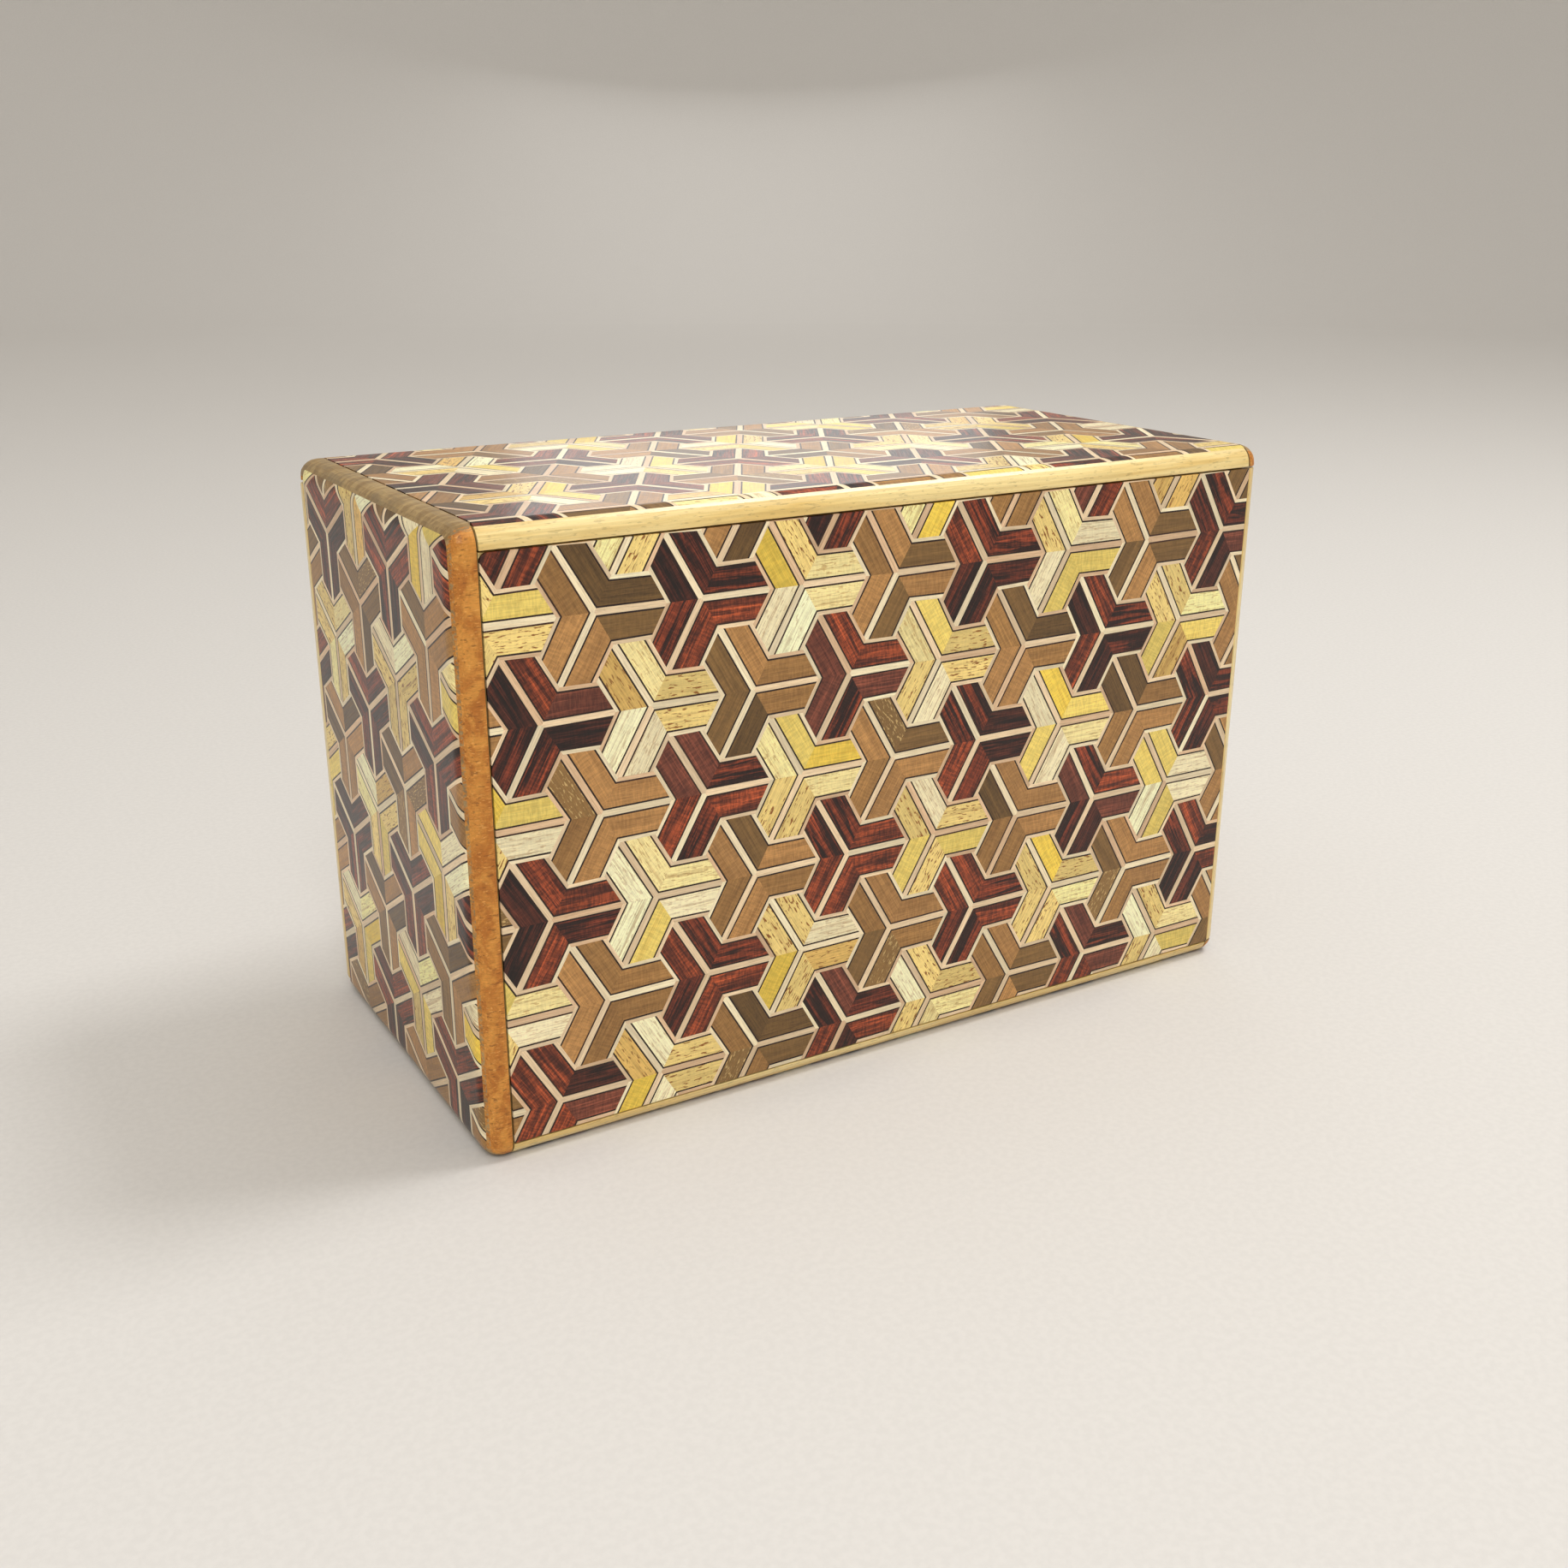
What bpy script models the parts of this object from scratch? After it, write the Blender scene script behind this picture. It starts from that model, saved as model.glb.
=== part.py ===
"""A sliding-panel secret box veneered in hexagonal marquetry, standing on one long side.

X runs along the box, Y from the lid at the front to the base at the back, and Z up across
the width. The origin is the middle of the resting face. Sizes are in millimetres here and
are turned into metres where the meshes are made.
"""
import math

import bmesh
import bpy

MM = 0.001

# Outside of the assembled box.
LENGTH = 151.0
DEPTH = 73.0
WIDTH = 98.0
EDGE_RADIUS = 3.2
EDGE_SEGMENTS = 6
SMOOTH_ANGLE = 40.0

# Board and veneer thicknesses.
VENEER = 0.4
LEFT_END_THICKNESS = 4.2
RIGHT_END_THICKNESS = 2.8
SIDE_THICKNESS = 5.0
PANEL_THICKNESS = 4.2
INNER_WALL = 3.5
FLOOR_THICKNESS = 2.5

# Edge of each side board left showing beside the lid and the base.
UPPER_LIP = 3.6
LOWER_LIP = 2.5

# Clearances.
RUN_GAP = 0.3
GLUE_GAP = 0.1

# Loose tongues in the long edges of the lid and the base.
TONGUE_THICKNESS = 1.7
TONGUE_OUT = 0.8
TONGUE_IN = 2.4
TONGUE_SETBACK = 2.1

# Short slide of the end plates and the base that frees the lid.
PANEL_TRAVEL = 4.5

# Dovetail rails that carry the end plates.
RAIL_LENGTH = 46.0
RAIL_NARROW = 4.0
RAIL_WIDE = 6.4
RAIL_SPREAD = 50.0
LEFT_RAIL_HEIGHT = 2.0
RIGHT_RAIL_HEIGHT = 1.2

# Stop pegs and the slots they run in.
PEG_DIAMETER = 3.0
PEG_SEGMENTS = 32
PEG_ROOT = 2.0
LEFT_PEG_OUT = 1.9
RIGHT_PEG_OUT = 1.2
BASE_PEG_ROOT = 1.5
BASE_PEG_OUT = 2.0
BASE_PEG_X = -30.0

# Lock keys and the pockets that they reach for.
KEY_WIDTH = 10.0
KEY_LENGTH = 8.0
KEY_NOSE = 2.0
LEFT_KEY_THICKNESS = 2.4
RIGHT_KEY_THICKNESS = 1.4
BASE_KEY_THICKNESS = 1.8

# How far a cutter runs past the surface that it cuts, and the stock that the outer pieces
# have before they are trimmed to the rounded outside.
OVERCUT = 5.0
STOCK = 2.0

# Planes shared by the pieces that meet there.
X_LEFT = -LENGTH / 2
X_RIGHT = LENGTH / 2
Y_FRONT = -DEPTH / 2
Y_BACK = DEPTH / 2
LEFT_PLATE_IN = X_LEFT + LEFT_END_THICKNESS
RIGHT_PLATE_IN = X_RIGHT - RIGHT_END_THICKNESS
CARCASS_LEFT = LEFT_PLATE_IN + RUN_GAP
CARCASS_RIGHT = RIGHT_PLATE_IN - RUN_GAP
LID_BACK = Y_FRONT + PANEL_THICKNESS
BASE_FRONT = Y_BACK - PANEL_THICKNESS
WALL_FRONT = LID_BACK + RUN_GAP
WALL_BACK = BASE_FRONT - RUN_GAP
SIDE_LOW_IN = SIDE_THICKNESS
SIDE_HIGH_IN = WIDTH - SIDE_THICKNESS
PANEL_LOW = LOWER_LIP + RUN_GAP
PANEL_HIGH = WIDTH - UPPER_LIP - RUN_GAP
TONGUE_LOW = PANEL_LOW - TONGUE_OUT
TONGUE_HIGH = PANEL_HIGH + TONGUE_OUT
TONGUE_FRONT = Y_FRONT + TONGUE_SETBACK
TONGUE_REAR = TONGUE_FRONT + TONGUE_THICKNESS
MID_HEIGHT = WIDTH / 2


def clear_scene():
    """Empty the file of whatever it opened with."""
    for thing in list(bpy.data.objects):
        bpy.data.objects.remove(thing, do_unlink=True)


def new_collection(name):
    """Add a collection to the scene."""
    group = bpy.data.collections.new(name)
    bpy.context.scene.collection.children.link(group)
    return group


def wood(name, colour, roughness):
    """Make a plain wood material."""
    material = bpy.data.materials.new(name)
    material.use_nodes = True
    shader = material.node_tree.nodes["Principled BSDF"]
    shader.inputs["Base Color"].default_value = (*colour, 1.0)
    shader.inputs["Roughness"].default_value = roughness
    shader.inputs["Metallic"].default_value = 0.0
    return material


def link(name, mesh, centre, group, parent=None):
    """Put a mesh in the scene at a point given in millimetres."""
    thing = bpy.data.objects.new(name, mesh)
    group.objects.link(thing)
    thing.location = [value * MM for value in centre]
    if parent is not None:
        thing.parent = parent
        thing.location = [value * MM - shift for value, shift in zip(centre, parent.location)]
    return thing


def block_mesh(name, size):
    """A cuboid mesh of a size given in millimetres, about its own centre."""
    mesh = bpy.data.meshes.new(name)
    shape = bmesh.new()
    bmesh.ops.create_cube(shape, size=1.0)
    bmesh.ops.scale(shape, vec=[value * MM for value in size], verts=shape.verts)
    shape.to_mesh(mesh)
    shape.free()
    return mesh


def block(name, x, y, z, group, parent=None):
    """A cuboid between three (low, high) pairs."""
    centre = [(low + high) / 2 for low, high in (x, y, z)]
    size = [high - low for low, high in (x, y, z)]
    return link(name, block_mesh(name, size), centre, group, parent)


def peg(name, radius, span, centre, axis, group):
    """A round peg along X or Y, from the low to the high end of its span."""
    mesh = bpy.data.meshes.new(name)
    shape = bmesh.new()
    depth = (span[1] - span[0]) * MM
    bmesh.ops.create_cone(shape, cap_ends=True, segments=PEG_SEGMENTS, radius1=radius * MM,
                          radius2=radius * MM, depth=depth)
    shape.to_mesh(mesh)
    shape.free()
    place = list(centre)
    place["XYZ".index(axis)] = (span[0] + span[1]) / 2
    thing = link(name, mesh, place, group)
    if axis == "X":
        thing.rotation_euler = (0.0, math.pi / 2, 0.0)
    else:
        thing.rotation_euler = (math.pi / 2, 0.0, 0.0)
    mesh.shade_smooth()
    mesh.set_sharp_from_angle(angle=math.radians(SMOOTH_ANGLE))
    return thing


def dovetail(name, near, far, y, height, narrow, wide, group):
    """A dovetail bar along Y: narrow at the near X plane and wide at the far one."""
    low, high = min(near, far), max(near, far)
    bar = block(name, (low, high), y, (height - narrow / 2, height + narrow / 2), group)
    outward = 1.0 if far > near else -1.0
    shape = bmesh.new()
    shape.from_mesh(bar.data)
    outer = [vertex for vertex in shape.verts if vertex.co.x * outward > 0.0]
    bmesh.ops.scale(shape, vec=(1.0, 1.0, wide / narrow), verts=outer)
    shape.to_mesh(bar.data)
    shape.free()
    return bar


def boolean(thing, other, operation="DIFFERENCE"):
    """Cut one object with another, or keep what they share."""
    modifier = thing.modifiers.new(operation.title() + "_" + other.name, "BOOLEAN")
    modifier.operation = operation
    modifier.solver = "EXACT"
    modifier.object = other


def hide(cutter):
    """Mark a cutter as a guide, not a piece."""
    cutter.hide_render = True
    cutter.display_type = "WIRE"
    return cutter


def smooth_group():
    """Node group that shades a mesh smooth everywhere but at its sharp edges."""
    tree = bpy.data.node_groups.new("Smooth by Angle", "GeometryNodeTree")
    tree.interface.new_socket("Mesh", in_out="INPUT", socket_type="NodeSocketGeometry")
    tree.interface.new_socket("Mesh", in_out="OUTPUT", socket_type="NodeSocketGeometry")
    start = tree.nodes.new("NodeGroupInput")
    end = tree.nodes.new("NodeGroupOutput")
    faces = tree.nodes.new("GeometryNodeSetShadeSmooth")
    edges = tree.nodes.new("GeometryNodeSetShadeSmooth")
    edges.domain = "EDGE"
    angle = tree.nodes.new("GeometryNodeInputMeshEdgeAngle")
    shallow = tree.nodes.new("FunctionNodeCompare")
    shallow.operation = "LESS_THAN"
    shallow.inputs["B"].default_value = math.radians(SMOOTH_ANGLE)
    tree.links.new(start.outputs["Mesh"], faces.inputs["Geometry"])
    tree.links.new(faces.outputs["Geometry"], edges.inputs["Geometry"])
    tree.links.new(angle.outputs["Unsigned Angle"], shallow.inputs["A"])
    tree.links.new(shallow.outputs["Result"], edges.inputs["Shade Smooth"])
    tree.links.new(edges.outputs["Geometry"], end.inputs["Mesh"])
    return tree


def finish(thing, material, cuts=(), envelope=None):
    """Give a piece its material, cut it, then trim it to the rounded outside."""
    thing.data.materials.append(material)
    for cut in cuts:
        boolean(thing, cut)
    if envelope is not None:
        boolean(thing, envelope, "INTERSECT")
        shading = thing.modifiers.new("Smooth by Angle", "NODES")
        shading.node_group = bpy.data.node_groups["Smooth by Angle"]
    return thing


def empty(name, centre, group):
    """A parent for the pieces of one moving panel, on the line that it slides along."""
    return link(name, None, centre, group)


def outside_envelope(group):
    """The rounded outside of the assembled box, which every outer piece is sanded to."""
    body = block("outside", (X_LEFT, X_RIGHT), (Y_FRONT, Y_BACK), (0.0, WIDTH), group)
    rounding = body.modifiers.new("Rounding", "BEVEL")
    rounding.width = EDGE_RADIUS * MM
    rounding.segments = EDGE_SEGMENTS
    rounding.limit_method = "ANGLE"
    return hide(body)


def channel_cutters(group):
    """Rebates and tongue grooves that the lid and the base run in."""
    past_left = X_LEFT - OVERCUT
    past_right = X_RIGHT + OVERCUT
    opening = (LOWER_LIP, WIDTH - UPPER_LIP)
    groove = (TONGUE_LOW - RUN_GAP, TONGUE_HIGH + RUN_GAP)
    slot = (TONGUE_FRONT - RUN_GAP, TONGUE_REAR + RUN_GAP)
    mirrored = (-slot[1], -slot[0])
    lid_x = (CARCASS_LEFT - OVERCUT, past_right)
    base_x = (past_left, CARCASS_RIGHT + OVERCUT)
    return {
        "lid": [hide(block("cut_lid_rebate", lid_x, (Y_FRONT - OVERCUT, WALL_FRONT), opening, group)),
                hide(block("cut_lid_groove", lid_x, slot, groove, group))],
        "base": [hide(block("cut_base_rebate", base_x, (WALL_BACK, Y_BACK + OVERCUT), opening, group)),
                 hide(block("cut_base_groove", base_x, mirrored, groove, group))],
    }


def rail_heights():
    """Heights of the two rails behind each end plate."""
    return {"lower": MID_HEIGHT - RAIL_SPREAD / 2, "upper": MID_HEIGHT + RAIL_SPREAD / 2}


def make_side(which, woods, group, envelope, channels):
    """One long side: its board, with the grooves for both panels, and its veneer."""
    x = (CARCASS_LEFT, CARCASS_RIGHT)
    y = (Y_FRONT - STOCK, Y_BACK + STOCK)
    if which == "upper":
        core = (SIDE_HIGH_IN, WIDTH - VENEER - GLUE_GAP)
        skin = (WIDTH - VENEER, WIDTH + STOCK)
    else:
        core = (VENEER + GLUE_GAP, SIDE_LOW_IN)
        skin = (-STOCK, VENEER)
    board = block(which + "_side_board", x, y, core, group)
    finish(board, woods["cream"], channels["lid"] + channels["base"], envelope)
    veneer = block(which + "_side_veneer", x, y, skin, group)
    finish(veneer, woods["marquetry"], (), envelope)


def make_inner_box(woods, group, cutters):
    """The two cross walls and the floor of the compartment."""
    z = (SIDE_LOW_IN + GLUE_GAP, SIDE_HIGH_IN - GLUE_GAP)
    y = (WALL_FRONT, WALL_BACK)
    walls = {"left": (CARCASS_LEFT, CARCASS_LEFT + INNER_WALL),
             "right": (CARCASS_RIGHT - INNER_WALL, CARCASS_RIGHT)}
    for side, x in walls.items():
        wall = block(side + "_inner_wall", x, y, z, group)
        finish(wall, woods["pine"], [cutters[side + "_peg_hole"]])
    x = (walls["left"][1] + GLUE_GAP, walls["right"][0] - GLUE_GAP)
    floor = block("inner_floor", x, (WALL_BACK - FLOOR_THICKNESS, WALL_BACK), z, group)
    finish(floor, woods["pine"], [cutters["base_peg_hole"]])


def make_rails(woods, group):
    """Dovetail rails glued to the outer face of each cross wall."""
    y = (-RAIL_LENGTH / 2, RAIL_LENGTH / 2)
    for level, height in rail_heights().items():
        left = CARCASS_LEFT - GLUE_GAP
        bar = dovetail("left_rail_" + level, left, left - LEFT_RAIL_HEIGHT, y, height,
                       RAIL_NARROW, RAIL_WIDE, group)
        finish(bar, woods["oak"])
        right = CARCASS_RIGHT + GLUE_GAP
        bar = dovetail("right_rail_" + level, right, right + RIGHT_RAIL_HEIGHT, y, height,
                       RAIL_NARROW, RAIL_WIDE, group)
        finish(bar, woods["oak"])


def rail_groove_cutters(group):
    """Dovetail grooves in the end plates, open at the end that slides over the rail."""
    result = {"left": [], "right": []}
    near_end = RAIL_LENGTH / 2 + RUN_GAP
    for level, height in rail_heights().items():
        far = CARCASS_LEFT - GLUE_GAP - LEFT_RAIL_HEIGHT - RUN_GAP
        cut = dovetail("cut_left_groove_" + level, CARCASS_LEFT, far, (-near_end, Y_BACK + OVERCUT),
                       height, *groove_widths(LEFT_RAIL_HEIGHT), group)
        result["left"].append(hide(cut))
        far = CARCASS_RIGHT + GLUE_GAP + RIGHT_RAIL_HEIGHT + RUN_GAP
        cut = dovetail("cut_right_groove_" + level, CARCASS_RIGHT, far, (Y_FRONT - OVERCUT, near_end),
                       height, *groove_widths(RIGHT_RAIL_HEIGHT), group)
        result["right"].append(hide(cut))
    return result


def groove_widths(rail_height):
    """Widths of a groove at its mouth and its floor, a running gap clear of its rail all round."""
    taper = (RAIL_WIDE - RAIL_NARROW) / rail_height
    mouth = RAIL_NARROW - taper * GLUE_GAP + 2 * RUN_GAP
    floor = RAIL_WIDE + taper * RUN_GAP + 2 * RUN_GAP
    return mouth, floor


def peg_cutters(group):
    """Holes that hold the stop pegs, and the slots that the pegs run in."""
    hole = PEG_DIAMETER / 2 + GLUE_GAP
    reach = PEG_DIAMETER / 2 + RUN_GAP
    level = (MID_HEIGHT - reach, MID_HEIGHT + reach)
    left_wall = CARCASS_LEFT + PEG_ROOT + GLUE_GAP
    right_wall = CARCASS_RIGHT - PEG_ROOT - GLUE_GAP
    floor = WALL_BACK - BASE_PEG_ROOT - GLUE_GAP
    cuts = {
        "left_peg_hole": peg("cut_left_peg_hole", hole, (CARCASS_LEFT - OVERCUT, left_wall),
                             (0.0, 0.0, MID_HEIGHT), "X", group),
        "right_peg_hole": peg("cut_right_peg_hole", hole, (right_wall, CARCASS_RIGHT + OVERCUT),
                              (0.0, 0.0, MID_HEIGHT), "X", group),
        "base_peg_hole": peg("cut_base_peg_hole", hole, (floor, WALL_BACK + OVERCUT),
                             (BASE_PEG_X, 0.0, MID_HEIGHT), "Y", group),
        "left_slot": block("cut_left_slot",
                           (CARCASS_LEFT - LEFT_PEG_OUT - RUN_GAP, LEFT_PLATE_IN + OVERCUT),
                           (-reach, reach + PANEL_TRAVEL), level, group),
        "right_slot": block("cut_right_slot",
                            (RIGHT_PLATE_IN - OVERCUT, CARCASS_RIGHT + RIGHT_PEG_OUT + RUN_GAP),
                            (-reach - PANEL_TRAVEL, reach), level, group),
        "base_slot": block("cut_base_slot", (BASE_PEG_X - reach, BASE_PEG_X + reach + PANEL_TRAVEL),
                           (BASE_FRONT - OVERCUT, WALL_BACK + BASE_PEG_OUT + RUN_GAP), level, group),
    }
    for cutter in cuts.values():
        hide(cutter)
    return cuts


def make_pegs(woods, group):
    """Stop pegs that limit the short slides."""
    radius = PEG_DIAMETER / 2
    centre = (0.0, 0.0, MID_HEIGHT)
    spans = {"left_stop_peg": ((CARCASS_LEFT - LEFT_PEG_OUT, CARCASS_LEFT + PEG_ROOT), centre, "X"),
             "right_stop_peg": ((CARCASS_RIGHT - PEG_ROOT, CARCASS_RIGHT + RIGHT_PEG_OUT), centre, "X"),
             "base_stop_peg": ((WALL_BACK - BASE_PEG_ROOT, WALL_BACK + BASE_PEG_OUT),
                               (BASE_PEG_X, 0.0, MID_HEIGHT), "Y")}
    for name, (span, middle, axis) in spans.items():
        finish(peg(name, radius, span, middle, axis, group), woods["oak"])


def grown(span, margin):
    """A (low, high) pair made wider by a margin at each end."""
    return (span[0] - margin, span[1] + margin)


def key_spans():
    """The three lock keys, each as x, y and z ranges, with its nose just short of its pocket."""
    z = (MID_HEIGHT - KEY_WIDTH / 2, MID_HEIGHT + KEY_WIDTH / 2)
    left_x = (LEFT_PLATE_IN - LEFT_KEY_THICKNESS, LEFT_PLATE_IN)
    right_x = (RIGHT_PLATE_IN, RIGHT_PLATE_IN + RIGHT_KEY_THICKNESS)
    base_y = (BASE_FRONT, BASE_FRONT + BASE_KEY_THICKNESS)
    base_end = RIGHT_PLATE_IN - RUN_GAP
    return {"left_key": (left_x, (WALL_BACK - KEY_LENGTH, WALL_BACK), z),
            "right_key": (right_x, (WALL_FRONT, WALL_FRONT + KEY_LENGTH), z),
            "base_key": ((base_end - KEY_LENGTH, base_end), base_y, z)}


def key_cutters(group):
    """Mortises that hold the keys, and the pockets that they lock into."""
    cuts = {}
    for name, (x, y, z) in key_spans().items():
        cuts[name + "_mortise"] = [grown(x, GLUE_GAP), grown(y, GLUE_GAP), grown(z, GLUE_GAP)]
        cuts[name + "_pocket"] = [grown(x, RUN_GAP), grown(y, RUN_GAP), grown(z, RUN_GAP)]
    cuts["left_key_mortise"][0] = (cuts["left_key_mortise"][0][0], LEFT_PLATE_IN + OVERCUT)
    cuts["left_key_mortise"][1] = (cuts["left_key_mortise"][1][0], WALL_BACK + OVERCUT)
    cuts["right_key_mortise"][0] = (RIGHT_PLATE_IN - OVERCUT, cuts["right_key_mortise"][0][1])
    cuts["right_key_mortise"][1] = (WALL_FRONT - OVERCUT, cuts["right_key_mortise"][1][1])
    cuts["base_key_mortise"][0] = (cuts["base_key_mortise"][0][0], CARCASS_RIGHT + OVERCUT)
    cuts["base_key_mortise"][1] = (BASE_FRONT - OVERCUT, cuts["base_key_mortise"][1][1])
    cuts["left_key_pocket"][1] = (BASE_FRONT - OVERCUT, BASE_FRONT + KEY_NOSE)
    cuts["right_key_pocket"][1] = (LID_BACK - KEY_NOSE, LID_BACK + OVERCUT)
    cuts["base_key_pocket"][0] = (RIGHT_PLATE_IN - OVERCUT, RIGHT_PLATE_IN + RIGHT_KEY_THICKNESS)
    return {name: hide(block("cut_" + name, x, y, z, group)) for name, (x, y, z) in cuts.items()}


def make_end_plate(side, woods, group, parent, envelope, channels, cuts):
    """An end plate, shortened under the panel whose lipping covers its edge, and its veneer."""
    if side == "left":
        core = (X_LEFT + VENEER + GLUE_GAP, LEFT_PLATE_IN)
        skin = (X_LEFT - STOCK, X_LEFT + VENEER)
        skin_y = (Y_FRONT - STOCK, WALL_BACK)
        panel = "base"
        pocket = []
    else:
        core = (RIGHT_PLATE_IN, X_RIGHT - VENEER - GLUE_GAP)
        skin = (X_RIGHT - VENEER, X_RIGHT + STOCK)
        skin_y = (WALL_FRONT, Y_BACK + STOCK)
        panel = "lid"
        pocket = [cuts["keys"]["base_key_pocket"]]
    z = (-STOCK, WIDTH + STOCK)
    board = block(side + "_end_board", core, (Y_FRONT - STOCK, Y_BACK + STOCK), z, group, parent)
    holes = cuts["rails"][side] + [cuts["pegs"][side + "_slot"], cuts["keys"][side + "_key_mortise"]]
    finish(board, woods["keyaki"], channels[panel] + holes + pocket, envelope)
    veneer = block(side + "_end_veneer", skin, skin_y, z, group, parent)
    finish(veneer, woods["marquetry"], (), envelope)
    key = block(side + "_key", *key_spans()[side + "_key"], group, parent)
    finish(key, woods["oak"])


def make_panel(which, woods, group, parent, envelope, cuts):
    """The lid or the base: board, veneer, end lipping and two loose tongues."""
    if which == "lid":
        core_x = (LEFT_PLATE_IN + RUN_GAP, RIGHT_PLATE_IN - GLUE_GAP)
        lipping_x = (RIGHT_PLATE_IN, X_RIGHT + STOCK)
        core_y = (Y_FRONT + VENEER + GLUE_GAP, LID_BACK)
        skin_y = (Y_FRONT - STOCK, Y_FRONT + VENEER)
        whole_y = (Y_FRONT - STOCK, LID_BACK)
        tongue_y = (TONGUE_FRONT, TONGUE_REAR)
        board_cuts = []
        lipping_cuts = [cuts["keys"]["right_key_pocket"]]
    else:
        core_x = (LEFT_PLATE_IN + GLUE_GAP, RIGHT_PLATE_IN - RUN_GAP)
        lipping_x = (X_LEFT - STOCK, LEFT_PLATE_IN)
        core_y = (BASE_FRONT, Y_BACK - VENEER - GLUE_GAP)
        skin_y = (Y_BACK - VENEER, Y_BACK + STOCK)
        whole_y = (BASE_FRONT, Y_BACK + STOCK)
        tongue_y = (-TONGUE_REAR, -TONGUE_FRONT)
        board_cuts = [cuts["keys"]["base_key_mortise"], cuts["pegs"]["base_slot"]]
        lipping_cuts = [cuts["keys"]["left_key_pocket"]]
    z = (PANEL_LOW, PANEL_HIGH)
    mortises = tongue_mortises(which, core_x, tongue_y, cuts["group"])
    board = block(which + "_board", core_x, core_y, z, group, parent)
    finish(board, woods["cream"], board_cuts + mortises, envelope)
    veneer = block(which + "_veneer", core_x, skin_y, z, group, parent)
    finish(veneer, woods["marquetry"], (), envelope)
    lipping = block(which + "_lipping", lipping_x, whole_y, z, group, parent)
    finish(lipping, woods["cream"], lipping_cuts, envelope)
    for level, span in tongue_spans().items():
        tongue = block(which + "_tongue_" + level, core_x, tongue_y, span, group, parent)
        finish(tongue, woods["oak"])


def tongue_spans():
    """Height ranges of the two loose tongues of a panel."""
    return {"lower": (TONGUE_LOW, PANEL_LOW + TONGUE_IN),
            "upper": (PANEL_HIGH - TONGUE_IN, TONGUE_HIGH)}


def tongue_mortises(which, core_x, tongue_y, group):
    """Grooves in a panel's long edges that hold its tongues."""
    cutters = []
    for level, span in tongue_spans().items():
        if level == "lower":
            z = (PANEL_LOW - OVERCUT, span[1] + GLUE_GAP)
        else:
            z = (span[0] - GLUE_GAP, PANEL_HIGH + OVERCUT)
        name = "cut_" + which + "_tongue_" + level
        cutters.append(hide(block(name, grown(core_x, OVERCUT), grown(tongue_y, GLUE_GAP), z, group)))
    return cutters


def make_base_key(woods, group, parent):
    """The key that the base carries for the right end plate."""
    key = block("base_key", *key_spans()["base_key"], group, parent)
    finish(key, woods["oak"])


def main():
    """Build the box."""
    clear_scene()
    parts = new_collection("puzzle_box")
    guides = new_collection("cutters")
    smooth_group()
    woods = {"cream": wood("cream_wood", (0.74, 0.58, 0.34), 0.35),
             "keyaki": wood("orange_end_wood", (0.56, 0.31, 0.11), 0.4),
             "pine": wood("inner_wood", (0.66, 0.48, 0.28), 0.6),
             "oak": wood("runner_wood", (0.42, 0.27, 0.14), 0.5),
             "marquetry": wood("marquetry", (0.36, 0.22, 0.13), 0.3)}
    envelope = outside_envelope(guides)
    channels = channel_cutters(guides)
    cuts = {"rails": rail_groove_cutters(guides), "pegs": peg_cutters(guides),
            "keys": key_cutters(guides), "group": guides}
    slides = {"lid": empty("lid_slide", (0.0, Y_FRONT, MID_HEIGHT), parts),
              "base": empty("base_slide", (0.0, Y_BACK, MID_HEIGHT), parts),
              "left": empty("left_end_slide", (X_LEFT, 0.0, MID_HEIGHT), parts),
              "right": empty("right_end_slide", (X_RIGHT, 0.0, MID_HEIGHT), parts)}
    make_side("upper", woods, parts, envelope, channels)
    make_side("lower", woods, parts, envelope, channels)
    make_inner_box(woods, parts, cuts["pegs"])
    make_rails(woods, parts)
    make_pegs(woods, parts)
    for side in ("left", "right"):
        make_end_plate(side, woods, parts, slides[side], envelope, channels, cuts)
    for panel in ("lid", "base"):
        make_panel(panel, woods, parts, slides[panel], envelope, cuts)
    make_base_key(woods, parts, slides["base"])


main()
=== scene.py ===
"""Looks of the marquetry secret box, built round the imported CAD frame.

X runs along the box, Y from the lid at the front to the base at the back, and Z up. Shapes
are worked out in millimetres and turned into metres by MM. Each veneered face is a sheet
of wooden tiles: three hexagonal arms round a point, every arm split by a pale strip.
"""

import math
import random
from collections import namedtuple

import bmesh
import bpy
from mathutils import Matrix, Vector


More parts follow.
